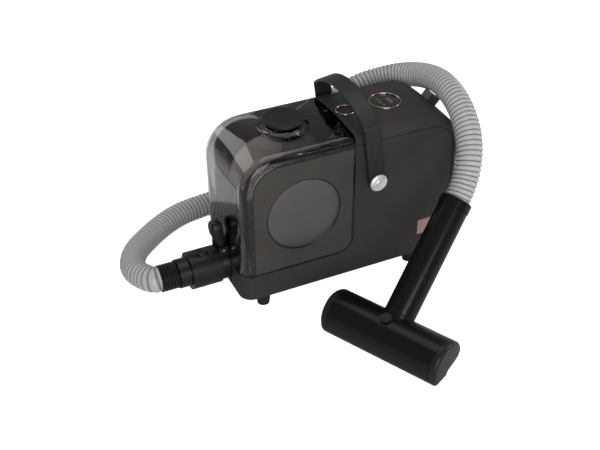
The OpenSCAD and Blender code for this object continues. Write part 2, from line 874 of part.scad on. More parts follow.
module head_shell() {
    inner = head_length / 2 - cap_t;
    color("#1c1c1c") difference() {
        union() {
            at_head() xz(-inner, inner) head_section(0);
            on_wand() rod_x(wand_r + 2, -6, wand_start + 3);
        }
        at_head() xz(-inner - 1, inner + 1) head_section(head_wall);
        at_head() translate([8, -inner - 1, -1]) cube([38, 2 * inner + 2, 10]);
        on_wand() rod_x(wand_r, -10, wand_start + 4);
    }
}

module head_caps() {
    color("#3a3a3a") at_head() for (y = [-head_length / 2, head_length / 2 - cap_t])
        xz(y, y + cap_t) head_section(0);
}

module suction_lip() {
    inner = head_length / 2 - cap_t;
    color("#101010") at_head() for (x = [8, 20]) translate([x, -inner, 0]) cube([2.5, 2 * inner, 9]);
}

module brush_strip() {
    inner = head_length / 2 - cap_t;
    color("#303030") at_head() {
        translate([36, -inner, 6]) cube([10, 2 * inner, 4]);
        for (y = [-inner + 6 : 9 : inner - 6]) translate([41, y, 0.5]) cylinder(r = 2.6, h = 6);
    }
}

module spray_nozzle() {
    color("#101010") difference() {
        at_head() translate([22, 3, 48]) rotate([0, -8, 0]) cylinder(r = 8, h = 10);
        at_head() xz(-40, 40) head_section(0);
        on_wand() rod_x(wand_r + 2, -6, wand_start + 3);
    }
}

main_shell();
bottom_plate();
rubber_feet();
foot_screws();
top_cover();
display_ring();
display_glass();
button_ring();
power_button();
control_board();
board_posts();
rear_grille();
hose_cradle();
power_inlet();
power_supply();
rating_label();
handle_pins();
handle_spacers();
handle_domes();
carry_strap();
suction_motor();
motor_mounts();
motor_cradle();
fan_cover();
impeller();
motor_shaft();
air_duct();
dock_gasket();
water_pump();
pump_tube();
hose_port();
inlet_duct();
latch_bracket();
latch_pin();
tank_latch();
tank_shell();
divider_wall();
near_panel();
far_panel();
panel_trims();
window_discs();
neck_collar();
fill_cap();
cap_gasket();
float_cage();
float_ball();
inlet_box();
swivel_cuff();
cuff_button();
hose_sleeve();
strain_bellows();
suction_hose();
wand_collar();
wand_grip();
wand_tube();
head_shell();
head_caps();
suction_lip();
brush_strip();
spray_nozzle();
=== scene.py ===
import math
import bmesh
import bpy
import numpy as np
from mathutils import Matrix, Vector


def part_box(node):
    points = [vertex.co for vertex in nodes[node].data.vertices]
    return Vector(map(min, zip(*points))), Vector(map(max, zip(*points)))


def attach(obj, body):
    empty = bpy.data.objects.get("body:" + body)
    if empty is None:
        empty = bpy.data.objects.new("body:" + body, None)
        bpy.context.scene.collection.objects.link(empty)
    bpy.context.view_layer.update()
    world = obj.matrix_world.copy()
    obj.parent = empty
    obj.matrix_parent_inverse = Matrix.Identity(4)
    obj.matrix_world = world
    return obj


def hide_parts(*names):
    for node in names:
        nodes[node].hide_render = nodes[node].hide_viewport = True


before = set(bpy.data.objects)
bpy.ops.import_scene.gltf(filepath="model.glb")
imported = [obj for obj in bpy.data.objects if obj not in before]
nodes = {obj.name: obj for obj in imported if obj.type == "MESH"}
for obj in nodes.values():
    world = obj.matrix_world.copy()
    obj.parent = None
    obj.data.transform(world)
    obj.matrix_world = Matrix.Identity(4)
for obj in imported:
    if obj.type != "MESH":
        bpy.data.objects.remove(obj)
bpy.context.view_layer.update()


# ---- Camera ----------------------------------------------------------------------------------------------
# A fairly long lens, standing on the wand's side of the machine and looking down on it over the front
# corner.
look_yaw, look_down = math.radians(25.44), math.radians(35.46)
camera = bpy.data.objects.new("camera", bpy.data.cameras.new("camera"))
camera.location = (-0.5482, -1.0472, 0.8965)
camera.rotation_euler = (math.pi / 2 - look_down, 0, -look_yaw)
camera.data.lens = 60.2
camera.data.sensor_width = 36
camera.data.clip_start = 0.02
bpy.context.scene.collection.objects.link(camera)
bpy.context.scene.camera = camera
bpy.context.scene.view_settings.view_transform = "Standard"


# ---- Suction hose ----------------------------------------------------------------------------------------
# A blown grey vinyl hose, corrugated so that it bends. It leaves the wand's collar, lies over the cradle at
# the rear top corner, drops behind the body to the floor and comes round to the bellows at the front.
wand_lean, head_turn = math.radians(41.5), math.radians(27)
wand_line = np.array([math.cos(wand_lean) * math.cos(head_turn), math.cos(wand_lean) * math.sin(head_turn),
                      math.sin(wand_lean)])
wand_foot = np.array([-0.048 + 0.034 * math.cos(head_turn), -0.226 + 0.034 * math.sin(head_turn), 0.0292])
hose_exit = wand_foot + 0.1906 * wand_line
hose_end = np.array([-0.2624, 0.0, 0.045])
hose_width = 0.036
route = np.vstack([hose_exit, np.array([
    (127, -135, 176), (140, -121, 199), (150, -101, 219), (157, -76, 234), (162, -49, 244), (166, -19, 248),
    (169, 10, 246), (170, 39, 239), (166, 67, 230), (154, 92, 220), (133, 110, 210), (106, 118, 202),
    (78, 121, 192), (52, 121, 178), (29, 122, 159), (9, 126, 137), (-7, 133, 113), (-22, 143, 90),
    (-38, 153, 67), (-56, 164, 46), (-79, 173, 30), (-107, 178, 21), (-137, 178, 18), (-166, 173, 18),
    (-193, 162, 18), (-219, 146, 18), (-241, 127, 20), (-261, 105, 24), (-275, 80, 29), (-283, 52, 35),
    (-280, 23, 41)]) / 1000, hose_end])


def through(points, count, start, end):
    """Points along a cubic curve through the given ones: between two neighbours the curve is the blend
    (2t^3 - 3t^2 + 1) a + (t^3 - 2t^2 + t) m + (3t^2 - 2t^3) b + (t^3 - t^2) n, where m and n are the slopes
    at a and b. The slopes at the two ends are the given directions. The result is spaced evenly."""
    gap = np.linalg.norm(np.diff(points, axis=0), axis=1)
    slope = np.empty_like(points)
    slope[1:-1] = (points[2:] - points[:-2]) / (gap[1:] + gap[:-1])[:, None]
    slope[0], slope[-1] = start, end
    t = np.linspace(0, 1, 40, endpoint=False)[None, :, None]
    a, b = points[:-1, None], points[1:, None]
    m, n = slope[:-1, None] * gap[:, None, None], slope[1:, None] * gap[:, None, None]
    line = (2 * t**3 - 3 * t**2 + 1) * a + (t**3 - 2 * t**2 + t) * m
    line = line + (3 * t**2 - 2 * t**3) * b + (t**3 - t**2) * n
    line = np.vstack([line.reshape(-1, 3), points[-1]])
    run = np.r_[0, np.cumsum(np.linalg.norm(np.diff(line, axis=0), axis=1))]
    even = np.linspace(0, run[-1], count)
    return np.stack([np.interp(even, run, line[:, k]) for k in range(3)], 1), run[-1]


def frames_along(line):
    """Unit tangents and two unit normals at each point of a line. Each normal is the last one turned as
    little as the curve allows: the part of it across the next tangent, made one long again."""
    tangent = np.gradient(line, axis=0)
    tangent /= np.linalg.norm(tangent, axis=1)[:, None]
    side = np.cross(tangent[0], (0, 0, 1))
    sides = []
    for along in tangent:
        side = side - along * (side @ along)
        side = side / np.linalg.norm(side)
        sides.append(side)
    sides = np.array(sides)
    return tangent, sides, np.cross(sides, tangent)


def grid_piece(name, points, close_u=False, close_v=False, cap=False, uv=None):
    """A mesh from a grid of points, rows by columns, with one face between each four neighbours. close_u
    joins the last column to the first, close_v the last row to the first, and cap fills the two end rows.
    Its normals are worked out to point away from its inside, and it is shaded smooth."""
    rows, cols = points.shape[:2]
    index = np.arange(rows * cols).reshape(rows, cols)
    if close_u:
        index = np.hstack([index, index[:, :1]])
    if close_v:
        index = np.vstack([index, index[:1]])
    quads = np.stack([index[:-1, :-1], index[:-1, 1:], index[1:, 1:], index[1:, :-1]], -1).reshape(-1, 4)
    faces = quads.tolist()
    if cap:
        faces += [np.arange(cols)[::-1].tolist(), (np.arange(cols) + (rows - 1) * cols).tolist()]
    mesh = bpy.data.meshes.new(name)
    mesh.from_pydata(points.reshape(-1, 3).tolist(), [], faces)
    if uv is not None:
        layer = mesh.uv_layers.new(name="UVMap")
        corner = np.empty(len(mesh.loops), dtype=np.int64)
        mesh.loops.foreach_get("vertex_index", corner)
        layer.uv.foreach_set("vector", uv.reshape(-1, 2)[corner].astype(np.float32).ravel())
    solid = bmesh.new()
    solid.from_mesh(mesh)
    bmesh.ops.recalc_face_normals(solid, faces=solid.faces)
    solid.to_mesh(mesh)
    solid.free()
    mesh.polygons.foreach_set("use_smooth", np.ones(len(mesh.polygons), dtype=bool))
    piece = bpy.data.objects.new(name, mesh)
    bpy.context.scene.collection.objects.link(piece)
    return piece


def corrugated(line, crest, depth, pitch, around=28):
    """A tube along a line whose radius is crest - depth * (1 - w), where w = |cos(pi s / pitch + turn /
    2)|^0.6 and s is the distance along it and turn the angle around it, so that one ridge winds along as a
    screw thread."""
    tangent, side, up = frames_along(line)
    run = np.r_[0, np.cumsum(np.linalg.norm(np.diff(line, axis=0), axis=1))]
    turn = np.linspace(0, 2 * math.pi, around, endpoint=False)
    wave = np.abs(np.cos(math.pi * run[:, None] / pitch + turn[None, :] / 2)) ** 0.6
    radius = crest - depth * (1 - wave)
    ring = np.cos(turn)[None, :, None] * side[:, None] + np.sin(turn)[None, :, None] * up[:, None]
    points = line[:, None] + radius[..., None] * ring
    # The second UV value is the ridge wave. The hose's colour reads it to paint shade into the valleys and
    # highlight onto the crests.
    uv = np.stack([np.broadcast_to(turn / (2 * math.pi), wave.shape), wave], -1)
    return points, uv


hose_pitch = 0.0064
hose_rings = 2400
hose_line, hose_length = through(route, hose_rings, wand_line, np.array([1.0, 0, 0]))
hose_points, hose_rib_shade_uv = corrugated(hose_line, hose_width / 2, 0.0025, hose_pitch)
hose = grid_piece("suction_hose_tube", hose_points, close_u=True, cap=True, uv=hose_rib_shade_uv)


def shader(name, colour, rough, metal=0.0, coat=0.0, specular=0.5, alpha=1.0):
    """A new material with its node tree, its Principled shader and the colour, roughness and so on set on
    the shader's own sockets."""
    material = bpy.data.materials.new(name)
    material.use_nodes = True
    tree = material.node_tree
    main = tree.nodes["Principled BSDF"]
    main.inputs["Base Color"].default_value = (*colour, 1)
    main.inputs["Roughness"].default_value = rough
    main.inputs["Metallic"].default_value = metal
    main.inputs["Coat Weight"].default_value = coat
    main.inputs["Coat Roughness"].default_value = 0.08
    main.inputs["Specular IOR Level"].default_value = specular
    main.inputs["Alpha"].default_value = alpha
    material.diffuse_color = (*colour, 1)
    return material, tree, main


def noise(tree, scale, detail=3.0, stretch=(1, 1, 1)):
    """Noise on the piece's Object coordinates, which are metres, so scale is features per metre."""
    place = tree.nodes.new("ShaderNodeTexCoord")
    turn = tree.nodes.new("ShaderNodeMapping")
    turn.inputs["Scale"].default_value = stretch
    pattern = tree.nodes.new("ShaderNodeTexNoise")
    pattern.inputs["Scale"].default_value = scale
    pattern.inputs["Detail"].default_value = detail
    tree.links.new(place.outputs["Object"], turn.inputs["Vector"])
    tree.links.new(turn.outputs["Vector"], pattern.inputs["Vector"])
    return pattern.outputs["Fac"]


def ramp(tree, value, low, high, at=(0.35, 0.65)):
    """A colour that goes from low to high as value goes between the two places in at."""
    node = tree.nodes.new("ShaderNodeValToRGB")
    node.color_ramp.elements[0].position, node.color_ramp.elements[1].position = at
    node.color_ramp.elements[0].color = (*low, 1)
    node.color_ramp.elements[1].color = (*high, 1)
    tree.links.new(value, node.inputs["Fac"])
    return node.outputs["Color"]


def spread(tree, value, low, high, socket):
    """Sets a socket to low where value is 0 and high where it is 1."""
    node = tree.nodes.new("ShaderNodeMapRange")
    node.inputs["To Min"].default_value = low
    node.inputs["To Max"].default_value = high
    tree.links.new(value, node.inputs["Value"])
    tree.links.new(node.outputs["Result"], socket)


def bump(tree, main, value, height):
    """Raises the surface by value, up to height in metres."""
    node = tree.nodes.new("ShaderNodeBump")
    node.inputs["Strength"].default_value = 0.6
    node.inputs["Distance"].default_value = height
    tree.links.new(value, node.inputs["Height"])
    tree.links.new(node.outputs["Normal"], main.inputs["Normal"])


# The colour follows the ridge wave in the UV map. It is painted darker in the corrugation valleys as painted
# shade, and lighter on the crests as painted highlight.
vinyl, tree, main = shader("hose_vinyl_rib_shade", (0.3, 0.3, 0.295), 0.3, specular=0.45)
where = tree.nodes.new("ShaderNodeUVMap")
where.uv_map = "UVMap"
split = tree.nodes.new("ShaderNodeSeparateXYZ")
tree.links.new(where.outputs["UV"], split.inputs["Vector"])
tree.links.new(ramp(tree, split.outputs["Y"], (0.10, 0.10, 0.098), (0.47, 0.47, 0.465), (0.15, 0.75)),
               main.inputs["Base Color"])
spread(tree, noise(tree, 90), 0.24, 0.38, main.inputs["Roughness"])
hose.data.materials.append(vinyl)
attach(hose, "root")
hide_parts("suction_hose")


# ---- Main shell and top cover ----------------------------------------------------------------------------
# Injection-moulded ABS in a warm charcoal with a fine spark-eroded grain, so it is nearly matt and breaks
# the light up very slightly. The cover is pressed into the shell along a narrow groove.
def moulded(name, colour, rough, grain=1500, height=0.00004, coat=0.0, shift=0.1, specular=0.3, edge=0.0006):
    """Moulded plastic: the colour drifts by a small share on a slow noise, the roughness on a middling one,
    a fine noise of grain features per metre raises the surface, and edges catch the light over the given
    radius."""
    material, tree, main = shader(name, colour, rough, coat=coat, specular=specular)
    low = tuple(c * (1 - shift) for c in colour)
    high = tuple(c * (1 + shift) for c in colour)
    tree.links.new(ramp(tree, noise(tree, 14, 2), low, high), main.inputs["Base Color"])
    spread(tree, noise(tree, 60, 4), rough * 0.87, min(rough * 1.13, 1), main.inputs["Roughness"])
    bump(tree, main, noise(tree, grain, 2), height)
    if edge:
        soft = tree.nodes.new("ShaderNodeBevel")
        soft.samples = 4
        soft.inputs["Radius"].default_value = edge
        tree.links.new(soft.outputs["Normal"], main.inputs["Normal"].links[0].from_node.inputs["Normal"])
    return material


def finish_node(material, *names):
    """Puts one material on each of the named CAD nodes."""
    for name in names:
        mesh = nodes[name].data
        if not mesh.materials:
            mesh.materials.append(material)
        for k in range(len(mesh.materials)):
            nodes[name].material_slots[k].material = material


def finished(piece, material, body, slot, *instead_of):
    """Gives a new piece its material and its body, and hides the CAD nodes that it stands for. slot is not
    used.
    """
    piece.data.materials.clear()
    piece.data.materials.append(material)
    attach(piece, body)
    if instead_of:
        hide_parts(*instead_of)
    return piece


def smoothed(node, name, material, body, slot, crease=33, ease=0.0):
    """A copy of a CAD node with its triangles joined at their corners, its flat areas made whole, and its
    curved areas shaded smooth. Edges sharper than crease degrees stay sharp. Each corner moves in by ease
    along its normal, which leaves a thin air gap where a clear piece touches another."""
    mesh = nodes[node].data.copy()
    mesh.name = name
    work = bmesh.new()
    work.from_mesh(mesh)
    bmesh.ops.remove_doubles(work, verts=work.verts, dist=2e-5)
    bmesh.ops.dissolve_limit(work, angle_limit=math.radians(0.7), verts=work.verts, edges=work.edges)
    for face in work.faces:
        face.smooth = True
    work.to_mesh(mesh)
    work.free()
    if ease:
        place, facing = (np.empty(len(mesh.vertices) * 3, dtype=np.float32) for _ in range(2))
        mesh.vertices.foreach_get("co", place)
        mesh.vertices.foreach_get("normal", facing)
        mesh.vertices.foreach_set("co", place - ease * facing)
    mesh.set_sharp_from_angle(angle=math.radians(crease))
    piece = bpy.data.objects.new(name, mesh)
    bpy.context.scene.collection.objects.link(piece)
    even = piece.modifiers.new("even", "WEIGHTED_NORMAL")
    even.keep_sharp = True
    return finished(piece, material, body, slot, node)


charcoal = moulded("shell_charcoal", (0.034, 0.0325, 0.030), 0.5, specular=0.22)
smoothed("main_shell", "shell_moulding", charcoal, "root", "shell_plastic")
smoothed("top_cover", "cover_moulding", charcoal, "root", "shell_plastic")


# ---- Base and feet ---------------------------------------------------------------------------------------
# The bottom plate closes the shell from below, and four tapered rubber feet are screwed through it. The
# same black plastic makes the rear grille and the mains inlet, and the same rubber the small rings and
# spacers.
underside = moulded("underside_black", (0.014, 0.014, 0.0135), 0.6)
rubber = moulded("foot_rubber", (0.012, 0.012, 0.012), 0.7, grain=700, height=0.0001)
zinc, tree, main = shader("zinc_plate", (0.6, 0.6, 0.58), 0.3, metal=1.0)
spread(tree, noise(tree, 300), 0.22, 0.42, main.inputs["Roughness"])
finish_node(underside, "bottom_plate", "rear_grille", "power_inlet", "power_supply", "board_posts")
smoothed("rubber_feet", "feet_moulding", rubber, "root", "rubber_black")
finish_node(rubber, "handle_spacers", "motor_mounts")
finish_node(zinc, "foot_screws", "handle_pins", "latch_pin", "motor_shaft")


# ---- Tank ------------------------------------------------------------------------------------------------
# A smoked clear tank with satin charcoal side panels in gloss black trims, and a smoked disc let into each.
# A clear divider stands between the clean water and the recovered water.
smoked, tree, main = shader("smoked_clear", (0.42, 0.40, 0.39), 0.035, specular=0.4)
main.inputs["Transmission Weight"].default_value = 1.0
main.inputs["IOR"].default_value = 1.45
spread(tree, noise(tree, 25, 3), 0.02, 0.06, main.inputs["Roughness"])
smoked_disc, tree, main = shader("smoked_disc", (0.64, 0.61, 0.595), 0.42, specular=0.4)
main.inputs["Transmission Weight"].default_value = 0.96
main.inputs["IOR"].default_value = 1.45
spread(tree, noise(tree, 40, 3), 0.36, 0.48, main.inputs["Roughness"])
panel_satin = moulded("panel_satin", (0.050, 0.0455, 0.042), 0.42, grain=1200, height=0.00002)
trim_gloss = moulded("trim_gloss", (0.008, 0.0075, 0.007), 0.2, grain=900, height=0.00001, specular=0.5)
inner_dark = moulded("inner_dark", (0.012, 0.012, 0.0115), 0.4)
smoothed("tank_shell", "tank_moulding", smoked, "tank", "smoked_clear")
smoothed("divider_wall", "divider_moulding", smoked, "tank", "smoked_clear", ease=0.0001)
smoothed("window_discs", "disc_mouldings", smoked_disc, "tank", "smoked_clear", ease=0.0001)
smoothed("near_panel", "near_panel_moulding", panel_satin, "tank", "panel_plastic", ease=0.0001)
smoothed("far_panel", "far_panel_moulding", panel_satin, "tank", "panel_plastic", ease=0.0001)
smoothed("panel_trims", "trim_mouldings", trim_gloss, "tank", "trim_gloss", ease=0.0001)
smoothed("inlet_box", "inlet_box_moulding", inner_dark, "tank", "inner_plastic", ease=0.0001)
smoothed("float_cage", "float_cage_moulding", inner_dark, "tank", "inner_plastic", ease=0.0001)
# A thin gloss ring lines the edge of each disc's recess. It is partly the recess's real step wall, and its
# near-black colour is painted shade for the shadow gap round the disc.
disc_low, disc_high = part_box("window_discs")
face_y = -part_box("near_panel")[0][1]
disc_x, disc_z = (disc_low[0] + disc_high[0]) / 2, (disc_low[2] + disc_high[2]) / 2
disc_r = (disc_high[0] - disc_low[0]) / 2
shade_ring_steps = ((-0.0009, 0.0011), (-0.0008, 0.0004), (0.0001, 0.0002), (0.0007, 0.0003), (0.0007, 0.0011))
turn = np.linspace(0, 2 * math.pi, 120, endpoint=False)
for side in (-1, 1):
    ring = np.array([[(disc_x + (disc_r + wide) * math.cos(a), side * (face_y - deep),
                       disc_z + (disc_r + wide) * math.sin(a)) for a in turn] for wide, deep in shade_ring_steps])
    name = "disc_shade_ring_near" if side < 0 else "disc_shade_ring_far"
    finished(grid_piece(name, ring, close_u=True, close_v=True), trim_gloss, "tank", "trim_gloss")


# A bead runs along the inside of the front wall and round its near corner.
wall_x, wall_y, bend_x, bend_r = -0.1606, -0.0485, -0.1495, 0.0111
bead_r, bead_z = 0.0012, 0.192
bend = np.linspace(0.05, 1.5, 16)
along_wall = np.vstack([
    np.stack([np.full(30, wall_x), np.linspace(0.024, wall_y, 30)], 1),
    np.stack([bend_x - bend_r * np.cos(bend), wall_y - bend_r * np.sin(bend)], 1)])
inward = np.vstack([np.tile((1.0, 0.0), (30, 1)), np.stack([np.cos(bend), np.sin(bend)], 1)])
taper = np.interp(np.arange(46), [0, 6, 30, 45], [0.0004, 0.0020, 0.0013, 0.0006])[:, None]
turn = np.linspace(0, 2 * math.pi, 16, endpoint=False)[None, :]
bead = np.stack([along_wall[:, :1] + inward[:, :1] * bead_r * np.cos(turn),
                 along_wall[:, 1:] + inward[:, 1:] * bead_r * np.cos(turn),
                 bead_z + taper * np.sin(turn)], -1)
finished(grid_piece("front_bead", bead, close_u=True, cap=True), inner_dark, "tank", "inner_plastic")


# ---- Filler collar and cap -------------------------------------------------------------------------------
# A clear turned collar stands on the tank's top. A flat black cap screws into it over a rubber ring.
def lathe(name, profile, centre, around=96, closed=False):
    """Turns a profile of (radius, height) pairs about the upright line through centre: each point goes
    round as (r cos t, r sin t, h). closed joins the last point to the first, and otherwise both ends are
    filled."""
    profile = np.array(profile, dtype=float)
    turn = np.linspace(0, 2 * math.pi, around, endpoint=False)
    points = np.stack([profile[:, :1] * np.cos(turn), profile[:, :1] * np.sin(turn),
                       np.broadcast_to(profile[:, 1:], (len(profile), around))], -1) + np.array(centre)
    return grid_piece(name, points, close_u=True, close_v=closed, cap=not closed)


def rounded(corners, radius, steps=5):
    """Rounds the corners of an open profile: near each corner the line follows the curve (1 - t)^2 a + 2 t
    (1 - t) c + t^2 b, where c is the corner and a and b lie up to radius away on its two sides."""
    corners = np.array(corners, dtype=float)
    line = [corners[:1]]
    t = np.linspace(0, 1, steps)[:, None]
    for before, corner, after in zip(corners[:-2], corners[1:-1], corners[2:]):
        back, on = before - corner, after - corner
        a = corner + back * min(radius / np.linalg.norm(back), 0.49)
        b = corner + on * min(radius / np.linalg.norm(on), 0.49)
        line.append((1 - t) ** 2 * a + 2 * t * (1 - t) * corner + t**2 * b)
    return np.vstack(line + [corners[-1:]])


cap_low, cap_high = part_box("fill_cap")
neck_low, neck_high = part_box("neck_collar")
filler_x, cap_r = (cap_low[0] + cap_high[0]) / 2, (cap_high[0] - cap_low[0]) / 2
collar_base = neck_low[2] + 0.0145
collar = lathe("filler_collar", rounded([
    (0.0215, neck_low[2]), (0.0237, neck_low[2]), (0.0237, collar_base), (0.0365, collar_base),
    (0.0350, collar_base + 0.0018), (0.0270, collar_base + 0.0046), (0.0252, neck_high[2]),
    (0.0215, neck_high[2]), (0.0215, neck_low[2] + 0.0001)], 0.0012), (filler_x, 0, 0), closed=True)
finished(collar, smoked, "tank", "smoked_clear", "neck_collar")
cap_black = moulded("cap_black", (0.014, 0.0135, 0.0125), 0.36, grain=900, height=0.00002, specular=0.22)
cap = lathe("screw_cap", rounded([
    (0.0001, cap_high[2] - 0.0004), (0.018, cap_high[2] - 0.0004), (cap_r - 0.0022, cap_high[2]),
    (cap_r, cap_high[2] - 0.0012), (cap_r, cap_high[2] - 0.005), (0.0210, cap_high[2] - 0.005),
    (0.0210, cap_low[2]), (0.0180, cap_low[2]), (0.0180, cap_low[2] + 0.013), (0.0001, cap_low[2] + 0.013)],
    0.0012), (filler_x, 0, 0))
finished(cap, cap_black, "fill_cap", "trim_plastic", "fill_cap")
seal = moulded("seal_rubber", (0.03, 0.03, 0.03), 0.7)
float_orange = moulded("float_orange", (0.5, 0.14, 0.03), 0.45)
finish_node(seal, "cap_gasket", "dock_gasket")
finish_node(float_orange, "float_ball")


# ---- Display and button ----------------------------------------------------------------------------------
# Rose-tinted plated rings are pressed into the top cover, one round a dark display glass and one round the
# button. The glass shows a bar and three dots from behind, and the button a ring.
rose, tree, main = shader("rose_plate", (0.62, 0.46, 0.40), 0.2, metal=1.0)
spread(tree, noise(tree, 200), 0.12, 0.28, main.inputs["Roughness"])
dark_glass, tree, main = shader("display_glass", (0.020, 0.018, 0.022), 0.16, specular=0.35)
lit_mark, tree, main = shader("display_marks", (0.10, 0.10, 0.14), 0.25)
button_mark, tree, main = shader("button_mark", (0.09, 0.045, 0.04), 0.4)


def plated_ring(name, node):
    """A ring turned from a profile that rises to a rounded lip above the cover, from the node's own outer
    radius."""
    low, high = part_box(node)
    lip_r = (high[0] - low[0]) / 2 - {"display_ring": 0.002, "button_ring": 0.0004}[node]
    ring = lathe(name, rounded([
        (lip_r - 0.0014, low[2]), (lip_r - 0.0001, low[2]), (lip_r - 0.0001, high[2] - 0.0006),
        (lip_r - 0.0007, high[2]), (lip_r - 0.0014, high[2] - 0.0006), (lip_r - 0.0014, low[2] + 0.0001)],
        0.0004), ((low[0] + high[0]) / 2, 0, 0), closed=True)
    return finished(ring, rose, "root", "satin_metal", node)


def slab(name, half_long, half_wide, corner, centre, thick=0.00012):
    """A thin flat mark with rounded corners: its outline is the curve |x|^n + |y|^n = 1 stretched to its
    size."""
    turn = np.linspace(0, 2 * math.pi, 48, endpoint=False)
    c, s = np.cos(turn), np.sin(turn)
    x = half_wide * np.sign(c) * np.abs(c) ** (2 / corner)
    y = half_long * np.sign(s) * np.abs(s) ** (2 / corner)
    levels = ((1, 0), (1, thick * 0.6), (0.97, thick))
    rows = [np.stack([x * k, y * k, np.full_like(x, z)], -1) for k, z in levels]
    return grid_piece(name, np.array(rows) + np.array(centre), close_u=True, cap=True)


plated_ring("display_ring_plated", "display_ring")
plated_ring("button_ring_plated", "button_ring")
glass_low, glass_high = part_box("display_glass")
glass_x, glass_r = (glass_low[0] + glass_high[0]) / 2, (glass_high[0] - glass_low[0]) / 2
face = lathe("display_lens", rounded([
    (0.0001, glass_high[2]), (glass_r - 0.001, glass_high[2] - 0.0003), (glass_r, glass_high[2] - 0.001),
    (glass_r, glass_low[2]), (0.0001, glass_low[2])], 0.0006), (glass_x, 0, 0))
finished(face, dark_glass, "root", "display_glass", "display_glass")
for name, half_long, half_wide, corner, dx, dy in (
        ("display_bar", 0.0075, 0.0032, 4, 0.0072, 0),
        ("display_dot_left", 0.0021, 0.0021, 2, -0.0058, 0.0085),
        ("display_dot_middle", 0.0026, 0.0026, 2, -0.0070, 0),
        ("display_dot_right", 0.0021, 0.0021, 2, -0.0058, -0.0085)):
    mark = slab(name, half_long, half_wide, corner, (glass_x + dx, dy, glass_high[2] - 0.0002))
    finished(mark, lit_mark, "root", "display_glass")
key_low, key_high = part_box("power_button")
key_x, key_r = (key_low[0] + key_high[0]) / 2, (key_high[0] - key_low[0]) / 2
key = lathe("power_key", rounded([
    (0.0001, key_high[2] - 0.0008), (key_r * 0.6, key_high[2] - 0.0006), (key_r - 0.0014, key_high[2]),
    (key_r, key_high[2] - 0.001), (key_r, key_low[2]), (0.0001, key_low[2])], 0.001), (key_x, 0, 0))
finished(key, cap_black, "power_button", "trim_plastic", "power_button")
symbol = lathe("power_key_ring", [
    (0.0036, key_high[2] - 0.0008), (0.0036, key_high[2] - 0.0005), (0.0044, key_high[2] - 0.0005),
    (0.0044, key_high[2] - 0.0008)], (key_x, 0, 0), around=48, closed=True)
finished(symbol, button_mark, "power_button", "trim_plastic")


# ---- Strap handle ----------------------------------------------------------------------------------------
# A band moulded in satin black nylon: flat legs with raised borders, a crease at each knee and a bowed
# arch, with a satin silver button over the pin at each foot.
pivot = np.array([0.0305, 0.0, 0.164])
lean = math.radians(8)
band_t, foot_r, knee, rise = 0.0045, 0.0125, 0.088, 0.117
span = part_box("carry_strap")[1][1]
leg_y = span - band_t / 2
bow = rise - knee
arch_r = (bow**2 + span**2) / (2 * bow)
arch_mid = rise - arch_r
mid_r = arch_r - band_t / 2
knee_turn = math.asin(leg_y / mid_r)
turns = np.linspace(knee_turn, -knee_turn, 90)
leg_top = knee - 0.0006
heights = np.r_[-foot_r * np.cos(np.linspace(0.02, math.pi / 2, 14)), np.linspace(0.001, leg_top, 40)]
knee_z = arch_mid + mid_r * math.cos(knee_turn)
stretch = np.where(heights > 0, heights * (knee_z - 0.0005) / leg_top, heights)
leg = np.stack([np.full_like(heights, leg_y), stretch], 1)
arch = np.stack([mid_r * np.sin(turns), arch_mid + mid_r * np.cos(turns)], 1)
band = np.vstack([leg, arch, (leg * (-1, 1))[::-1]])
out_leg = np.tile((1.0, 0.0), (len(leg), 1))
out_arch = np.stack([np.sin(turns), np.cos(turns)], 1)
middle = (out_leg[0] + out_arch[0]) / 2
out_arch[0] = middle / (middle @ middle) * (out_leg[0] @ middle)
out_arch[-1] = out_arch[0] * (-1, 1)
outward = np.vstack([out_leg, out_arch, (out_leg * (-1, 1))[::-1]])
reach = np.r_[heights, np.full(len(turns), knee), heights[::-1]]
half = np.sqrt(np.clip(foot_r**2 - np.minimum(reach, 0) ** 2, 1e-8, None))
sunk = 0.0008 * np.clip((knee - 0.003 - reach) / 0.003, 0, 1) * np.clip((reach - 0.0) / 0.004, 0, 1)
edge_in = np.minimum(half * 0.4, 0.0012)
rim = np.minimum(half * 0.6, 0.0026)
t2 = band_t / 2
left = ((-half, -t2 + 0.0010), (-half, t2 - 0.0012), (-half + edge_in * 0.3, t2 - 0.0004),
        (-half + edge_in, t2), (-half + rim, t2), (-half + rim * 1.2, t2 - sunk))
right = [(-across, out) for across, out in left[::-1]]
under = ((half - edge_in * 0.8, -t2), (-half + edge_in * 0.8, -t2))
section = np.stack([np.stack([across, out + 0 * half], -1) for across, out in (*left, *right, *under)], 1)
flat = band[:, None] + section[..., 1:] * outward[:, None]
x, y, h = section[..., 0], flat[..., 0], flat[..., 1]
strap_points = pivot + np.stack([x * math.cos(lean) - h * math.sin(lean), y,
                                 x * math.sin(lean) + h * math.cos(lean)], -1)
strap_black = moulded("strap_black", (0.020, 0.0195, 0.0185), 0.4, grain=900, height=0.00005)
strap = grid_piece("strap_moulding", strap_points, close_u=True, cap=True)
strap.data.set_sharp_from_angle(angle=math.radians(32))
finished(strap, strap_black, "handle", "strap_plastic", "carry_strap")
silver, tree, main = shader("dome_silver", (0.82, 0.81, 0.80), 0.32, metal=0.55)
spread(tree, noise(tree, 250), 0.24, 0.38, main.inputs["Roughness"])
dome_low, dome_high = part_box("handle_domes")
dome_r = (dome_high[0] - dome_low[0]) / 2
r = np.linspace(1, 0.012, 30) * dome_r
dome_tall = 0.0036
dome_h = dome_tall * np.sqrt(np.clip(1 - (r / dome_r) ** 2, 0, None)) ** 0.9 - 0.0006 * np.exp(
    -(((r - 0.0058) / 0.0009) ** 2))
